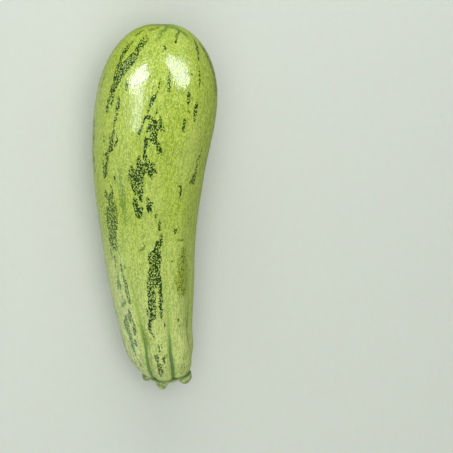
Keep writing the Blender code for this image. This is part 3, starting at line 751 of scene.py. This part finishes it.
skin, skin_tree, skin_look = new_finish("zucchini_skin")
place = stored(skin_tree, "place", "Vector")
from_pole, strong, scuff = (stored(skin_tree, name) for name in ("distance", "strength", "scuff"))
speckle = wired("ShaderNodeGroup", (("Place", place),), node_tree=stipple)
web = wired("ShaderNodeGroup", (("Place", place), ("Depth", stored(skin_tree, "streak")),
                                ("Strength", strong)), node_tree=network)
broad = noise(stretched(place, BROAD_STRETCH), BROAD_SCALE, 3, 0.55)
wobble = product(maths("SUBTRACT", noise(place, WOBBLE_SCALE), 0.5), 1.2)
specks = noise(stretched(place, SPECK_STRETCH), SPECK_SCALE, 2, 0.7)
smeared, puckered, grooved, scratched = (
    maths("MULTIPLY_ADD", wobble, share, stored(skin_tree, name))
    for name, share in (("smear", 1.0), ("pucker", 0.5), ("groove", 0.5), ("scratch", 0.4)))

ground = tint(span(from_pole, *PALER_PART), SKIN_GREEN, SKIN_PALE)
# Painted pale reflection on the left side towards the stem
ground = tint(product(stored(skin_tree, "painted_haze"), PAINTED_HAZE_SHARE), ground, SKIN_PAINTED_HAZE)
ground = marked(ground, ((from_pole, *POLE_RING, 0.80, POLE_GREEN),
                         (stored(skin_tree, "scar_patch"), -1.6, 0.6, 0.90, POLE_GREEN),
                         (smeared, -1.8, 1.2, 0.90, SMEAR_GREEN),
                         (puckered, -1.8, 0.3, 0.75, POLE_GREEN),
                         (puckered, -0.6, 0.3, 0.85, PUCKER_GREEN)))
ground = tint(product(speckle["Mottle"], MOTTLE_SHARE), ground, SKIN_DEEP)
ground = marked(ground, ((broad, 0.35, 0.75, 0.30, SKIN_PALE),))
ground = tint(product(speckle["Light"], LIGHT_SHARE), ground, SKIN_LIGHT)
# The grooves, darker towards the stem where they deepen, and the rim of the stem face are partly their own
# darker green and partly painted shade
groove_tone_and_shade = tint(span(from_pole, *GROOVE_CHANGE), GROOVE_START, GROOVE_GREEN_AND_SHADE)
ground = marked(ground, ((grooved, -1.7, 0.3, 0.45, GROOVE_START),
                         (grooved, -0.35, 0.20, 0.90, groove_tone_and_shade),
                         (from_pole, *FACE_RIM, 0.85, GROOVE_GREEN_AND_SHADE),
                         (scuff, -1.5, 2.5, 0.60, SCUFF_OLIVE)))
scuffed = product(span(scuff, -2.0, 1.5), span(specks, 0.51, 0.58, 0.0, 0.95))
ground = tint(scuffed, ground, SCRATCH_OLIVE)
filled = product(web["Fill"], span(strong, 0.95, 0.70, 0.16, 0.62))
ground = tint(filled, ground, STREAK_FILL)
streak_tone = tint(span(strong, 0.93, 0.72), STREAK_DARK, STREAK_GREY)
ground = tint(product(web["Dark"], strong), ground, streak_tone)
ground = marked(ground, ((scratched, -0.5, 0.2, 0.85, SCRATCH_OLIVE),))
corky = span(maths("MULTIPLY_ADD", wobble, 0.00006, from_pole), *CORK_RIM)
feed(skin_look["Base Color"], tint(corky, ground, CORK))

# The wax is a coat with a grain of its own, thinner at the blossom scar and in the grooves.
feed(skin_look["Roughness"],
     total(span(speckle["Mottle"], 0, 1, *SKIN_ROUGHNESS), product(corky, CORK_ROUGHNESS)))
feed(skin_look["Specular IOR Level"], 0.12)
feed(skin_look["Coat Roughness"], WAX_ROUGHNESS)
feed(skin_look["Coat Weight"],
     product(span(from_pole, *WAX_START, 0.40, 1.0), span(grooved, -1.6, -0.1, 1.0, 0.25)))
bumped(skin_look["Normal"], total(speckle["Height"], product(web["Dark"], 0.25)),
       RELIEF_STRENGTH, SKIN_RELIEF)
_, flecks, long_grain, short_grain = stippled(place)
bumped(skin_look["Coat Normal"], maths("MULTIPLY_ADD", total(long_grain, short_grain), 1.25, flecks),
       RELIEF_STRENGTH, WAX_RELIEF)

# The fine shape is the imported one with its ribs, grooves, folds and scar, all a hair's breadth further in,
# and with furrows round the scar and a slight unevenness. What would lie below the floor is pressed flat.
PUCKER_DEPTH = 0.00035
UNEVENNESS, UNEVEN_SCALE = 0.00012, 90


def on_mesh(tree, name, kind="FLOAT"):
    """A value that the mesh stores, as a field."""
    return add_node(tree, "GeometryNodeInputNamedAttribute", (("Name", name),), data_type=kind)["Attribute"]


def fading(value, reach):
    """1 at no distance, falling off over a reach."""
    return maths("EXPONENT", product(maths("DIVIDE", value, reach), -1.0))


form, given, result = new_group(
    "ribbed_skin", "Geometry",
    {"Geometry": "Geometry", "Length": SKIN_LENGTH, "End Radius": TAPER[-1][1], "Belly At": BELLY_AT,
     "Rib Swell": RIB_SWELL, "Rib Swell Min": RIB_SWELL_MIN, "Rib Fade": RIB_FADE,
     "Groove Depth": GROOVE_DEPTH, "Groove Fade": GROOVE_FADE, "Groove Sharpness": GROOVE_SHARPNESS,
     "Fold Depth": FOLD_DEPTH, "Fold Reach": FOLD_REACH, "Scar Radius": SCAR_RADIUS,
     "Scar Depth": SCAR_DEPTH, "Pucker Depth": PUCKER_DEPTH, "Inside": INSIDE, "Unevenness": UNEVENNESS,
     "Finish": "Material"}, {"Geometry": "Geometry"})
distance, mean = on_mesh(form, "distance"), on_mesh(form, "mean")
wave = product(maths("COSINE", product(on_mesh(form, "share"), 2 * math.pi)), -1)
from_stem = maths("MAXIMUM", maths("SUBTRACT", given["Length"], distance), 0)
more_swell = maths("SUBTRACT", given["Rib Swell"], given["Rib Swell Min"])
swell = maths("MULTIPLY_ADD", more_swell, fading(from_stem, given["Rib Fade"]), given["Rib Swell Min"])
fold = product(given["Fold Depth"], fading(distance, given["Fold Reach"]))
rise = product(total(swell, fold), wave)
near_groove = maths("EXPONENT", product(total(wave, 1), product(given["Groove Sharpness"], -1)))
groove = product(product(given["Groove Depth"], near_groove), fading(from_stem, given["Groove Fade"]))
growth = maths("SUBTRACT", rise, maths("DIVIDE", groove, given["End Radius"]))
radius = product(mean, total(growth, 1))
off_axis = maths("POWER", maths("DIVIDE", radius, given["Scar Radius"]), 2)
dimple = product(product(given["Scar Depth"], fading(off_axis, 1.0)),
                 maths("LESS_THAN", distance, given["Belly At"]))
uneven = add_node(form, "ShaderNodeTexNoise", (("Scale", UNEVEN_SCALE), ("Detail", 2)))["Fac"]
inward = maths("MULTIPLY_ADD", uneven, given["Unevenness"], given["Inside"])
puckers = span(on_mesh(form, "pucker"), -1.0, 0.5)
inward = maths("MULTIPLY_ADD", puckers, given["Pucker Depth"], inward)
outward_by = maths("SUBTRACT", product(mean, growth), inward)
shift = vectors("ADD", vectors("MULTIPLY", on_mesh(form, "outward", "FLOAT_VECTOR"), outward_by),
                vectors("MULTIPLY", on_mesh(form, "along", "FLOAT_VECTOR"), dimple))
moved = wired("GeometryNodeSetPosition", (("Geometry", given["Geometry"]), ("Offset", shift)))[0]
here = wired("ShaderNodeSeparateXYZ", ((0, add_node(form, "GeometryNodeInputPosition")[0]),))
level = wired("ShaderNodeCombineXYZ", ((0, here[0]), (1, here[1]), (2, maths("MAXIMUM", here[2], 0))))[0]
pressed = wired("GeometryNodeSetPosition", (("Geometry", moved), ("Position", level)))[0]
smooth = wired("GeometryNodeSetShadeSmooth", (("Geometry", pressed),))[0]
whole = wired("GeometryNodeRealizeInstances", (("Geometry", smooth),))[0]
finished = wired("GeometryNodeSetMaterial", (("Geometry", whole), ("Material", given["Finish"])))[0]
feed(result["Geometry"], finished)


def grown(name, mesh, tree, finish):
    """A plain object made by running a geometry tree, with its finish, on a mesh."""
    blank = linked(bpy.data.objects.new(name + "_blank", mesh))
    nodes = blank.modifiers.new("grow", "NODES")
    nodes.node_group = tree
    nodes[tree.interface.items_tree["Finish"].identifier] = finish
    bpy.context.view_layer.update()
    evaluated = blank.evaluated_get(bpy.context.evaluated_depsgraph_get())
    plain = bpy.data.meshes.new_from_object(evaluated)
    plain.name = name
    bpy.data.objects.remove(blank)
    return linked(bpy.data.objects.new(name, plain))


fruit = grown("fruit_skin", skin_mesh, form, skin)
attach(fruit, "root")
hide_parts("fruit")


# The foot of the fruit stalk: five blunt knobs round a cut made almost flush with a knife. It is harder and
# duller than the skin, green with lighter flecks, and its cut face is pale and fibrous round a hollow pith.
JOINT_GAP = 0.0003
# (turn, half-width in degrees, reach beyond the rim, height above it)
KNOBS = ((-100, 19, 0.0018, 0.0028), (-30, 14.5, 0.0010, 0.0034), (46, 21, 0.0021, 0.0033),
         (118, 20, 0.0012, 0.0030), (190, 19, 0.0010, 0.0028))
FOOT_RADIUS = 0.0108
FOOT_HEIGHT = 0.0020
KNOB_BLUNTNESS = 3.4
RIM_WIDTH, RIM_TOP, RIM_TUCK, CUT_HEIGHT = 0.0040, 0.0024, 0.0004, 0.0017
PITH_RADIUS, PITH_DEPTH, PITH_STEEPNESS = 0.0018, 0.0008, 3
FOOT_SEGMENTS = 240
FOOT_GREEN = (0.395, 0.470, 0.185, 1)
FOOT_LIGHT = (0.620, 0.690, 0.300, 1)
FOOT_DARK = (0.140, 0.210, 0.055, 1)
CUT_PALE = (0.600, 0.615, 0.370, 1)
CUT_BROWN = (0.390, 0.345, 0.170, 1)
FOOT_BLOTCH_SCALE, FOOT_FLECK_SCALE, FOOT_GRAIN_SCALE = 420, 1150, 1500
FOOT_RELIEF = 0.00015
# (kind of face, first and last ring), and the number that the mesh stores for each kind
FOOT_RINGS = (("flank", 0, 40), ("cut", 0, 12), ("pith", 1, 6))
FACE_KINDS = {"base": 0.0, "flank": 0.0, "cut": 1.0, "pith": 2.0}


def knobs_at(turns):
    """(reach beyond the low rim, height above it) of the foot at each turn in degrees."""
    reach_and_height = np.zeros((2, len(turns)))
    for middle, half_width, *sizes in KNOBS:
        off = np.abs((turns - middle + 180) % 360 - 180)
        reach_and_height += np.outer(sizes, np.exp(-(off / half_width) ** KNOB_BLUNTNESS))
    return reach_and_height


def foot_ring(kind, share):
    """(radius, height) at every turn, for one ring of the foot: its base, flank, cut face or pith."""
    outer = FOOT_RADIUS + knob_reaches
    inner = outer - RIM_WIDTH
    angle = math.pi * share
    inward = RIM_TUCK if share < 0.5 else RIM_TOP
    rim = FOOT_HEIGHT + knob_heights - 2 * INSIDE
    sunk = PITH_DEPTH * min(1.0, PITH_STEEPNESS * share)
    radii, height = {"base": (outer * share, 0.0),
                     "flank": (outer - inward * (1 - math.sin(angle)), rim * (0.5 - 0.5 * math.cos(angle))),
                     "cut": (PITH_RADIUS + (inner - PITH_RADIUS) * (1 - share), CUT_HEIGHT),
                     "pith": (PITH_RADIUS * (1 - share), CUT_HEIGHT - sunk)}[kind]
    return np.broadcast_arrays(radii, height, outer)[:2]


foot_turns = np.linspace(-180, 180, FOOT_SEGMENTS, endpoint=False)
knob_reaches, knob_heights = knobs_at(foot_turns)
centre, side, up, along = section_frame(SKIN_LENGTH + SHOULDER)
foot_base = np.array(centre + JOINT_GAP * along)
spread = (np.sin(np.radians(foot_turns))[:, None] * np.array(side)
          + np.cos(np.radians(foot_turns))[:, None] * np.array(up))
plan = [("base", 0.0), ("base", 0.5)]
plan += [(kind, ring / last) for kind, first, last in FOOT_RINGS for ring in range(first, last + 1)]
foot_rings, foot_heights, foot_kinds = [], [], []
for kind, share in plan:
    radii, levels = foot_ring(kind, share)
    foot_rings.append(foot_base + levels[:, None] * np.array(along) + radii[:, None] * spread)
    foot_heights.append(levels)
    foot_kinds.append(np.full(FOOT_SEGMENTS, FACE_KINDS[kind]))
foot_mesh = mesh_of_rings("stalk_foot", foot_rings, FOOT_SEGMENTS)
store(foot_mesh, "height", per_point(foot_heights))
store(foot_mesh, "kind", per_point(foot_kinds))

stalk, stalk_tree, stalk_look = new_finish("stalk_foot")
foot_place = add_node(stalk_tree, "ShaderNodeTexCoord")["Object"]
kind = stored(stalk_tree, "kind")
blotch = noise(foot_place, FOOT_BLOTCH_SCALE, 3, 0.6)
fleck = span(cells(foot_place, FOOT_FLECK_SCALE)["Distance"], 0.42, 0.20)
fibres = noise(foot_place, FOOT_GRAIN_SCALE, 3, 0.7)
flank = tint(span(blotch, 0.35, 0.65), FOOT_GREEN, FOOT_DARK)
flank = tint(product(fleck, span(blotch, 0.60, 0.40, 0.15, 0.9)), flank, FOOT_LIGHT)
face = tint(span(fibres, 0.35, 0.65), CUT_PALE, CUT_BROWN)
# The foot is painted darker at its base, where it meets the fruit: partly its own dark green, partly painted
# shade
feed(stalk_look["Base Color"],
     marked(flank, ((stored(stalk_tree, "height"), 0.0009, 0.0002, 0.95, FOOT_DARK),
                    (kind, 0.3, 0.9, 1.0, face), (kind, 1.2, 1.9, 0.8, CUT_BROWN))))
feed(stalk_look["Specular IOR Level"], 0.3)
feed(stalk_look["Roughness"], span(blotch, 0.3, 0.7, 0.42, 0.60))
bumped(stalk_look["Normal"], total(fleck, product(fibres, 0.8)), 0.7, FOOT_RELIEF)
foot_mesh.shade_smooth()
foot_mesh.materials.append(stalk)
stem = linked(bpy.data.objects.new("stalk_foot", foot_mesh))
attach(stem, "root")
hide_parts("stem")


# Studio light. Three windows are seen only as reflections: the two bright patches at the belly, and the
# fainter strip below the left one. Three broad dim panels light the skin without showing on it, and its
# edges reflect the surround.
HIGHLIGHT_AT = Vector((-0.002, 0.066, 0.050))
DAYLIGHT = (0.95, 0.975, 1.0)
WINDOW_LIGHT = (0.83, 0.86, 1.0)
WINDOW_AWAY, PANEL_AWAY = 1.2, 1.6
# (name, direction, direction of the width, width and height for a metre away, radiance)
WINDOWS = (("window_left", (-0.7075, 0.4695, 0.445), (0.030, -0.227, 0.310), 0.34, 0.46, 19.0),
           ("window_right", (0.440, 0.490, 0.700), (0.330, 0.130, -0.320), 0.31, 0.70, 14.5),
           ("window_strip", (-0.795, 0.07, 0.600), (0.187, -0.025, 0.238), 0.19, 0.46, 8.5))
PANELS = (("overhead_panel", (-0.15, 0.18, 0.965), (1, 0, 0), 1.00, 0.90, 3.38),
          ("front_panel", (-0.22, -0.62, 0.74), (1, 0, 0), 0.75, 0.60, 1.75),
          ("back_panel", (-0.10, 0.92, 0.38), (1, 0, 0), 0.80, 0.55, 4.2))
ROOM_SHINE = (0.175, 0.195, 0.125, 1)
SIDE_SHINE = (0.250, 0.290, 0.300, 1)
RIGHT_SHINE = (0.270, 0.310, 0.135, 1)
TABLE_SHINE = (0.420, 0.470, 0.290, 1)
FAR_SHINE = (0.150, 0.190, 0.045, 1)


def softbox(name, direction, across, width, height, radiance, away, colour):
    """A rectangular area light that faces the highlights, with its width along a direction."""
    light = bpy.data.lights.new(name, "AREA")
    light.shape = "RECTANGLE"
    light.size = width * away
    light.size_y = height * away
    light.energy = radiance * math.pi * light.size * light.size_y
    light.color = colour
    lamp = linked(bpy.data.objects.new(name, light))
    back = Vector(direction).normalized()
    right = (Vector(across) - back * Vector(across).dot(back)).normalized()
    lamp.matrix_world = turned_to(right, back.cross(right), HIGHLIGHT_AT + away * back)
    return lamp


for window in WINDOWS:
    softbox(*window, WINDOW_AWAY, WINDOW_LIGHT).visible_diffuse = False
for panel in PANELS:
    softbox(*panel, PANEL_AWAY, DAYLIGHT).visible_glossy = False
surround = bpy.data.worlds.new("surround")
surround.use_nodes = True
sky = surround.node_tree
towards = wired("ShaderNodeSeparateXYZ", ((0, add_node(sky, "ShaderNodeTexCoord")["Generated"]),))
low_shine = tint(span(towards[1], 0.0, 0.40), TABLE_SHINE, FAR_SHINE)
low_shine = tint(span(towards[0], 0.0, 0.35), low_shine, RIGHT_SHINE)
high_shine = tint(span(towards[0], -0.15, -0.75), ROOM_SHINE, SIDE_SHINE)
feed(sky.nodes["Background"].inputs["Color"], tint(span(towards[2], -0.10, 0.10), low_shine, high_shine))
bpy.context.scene.world = surround
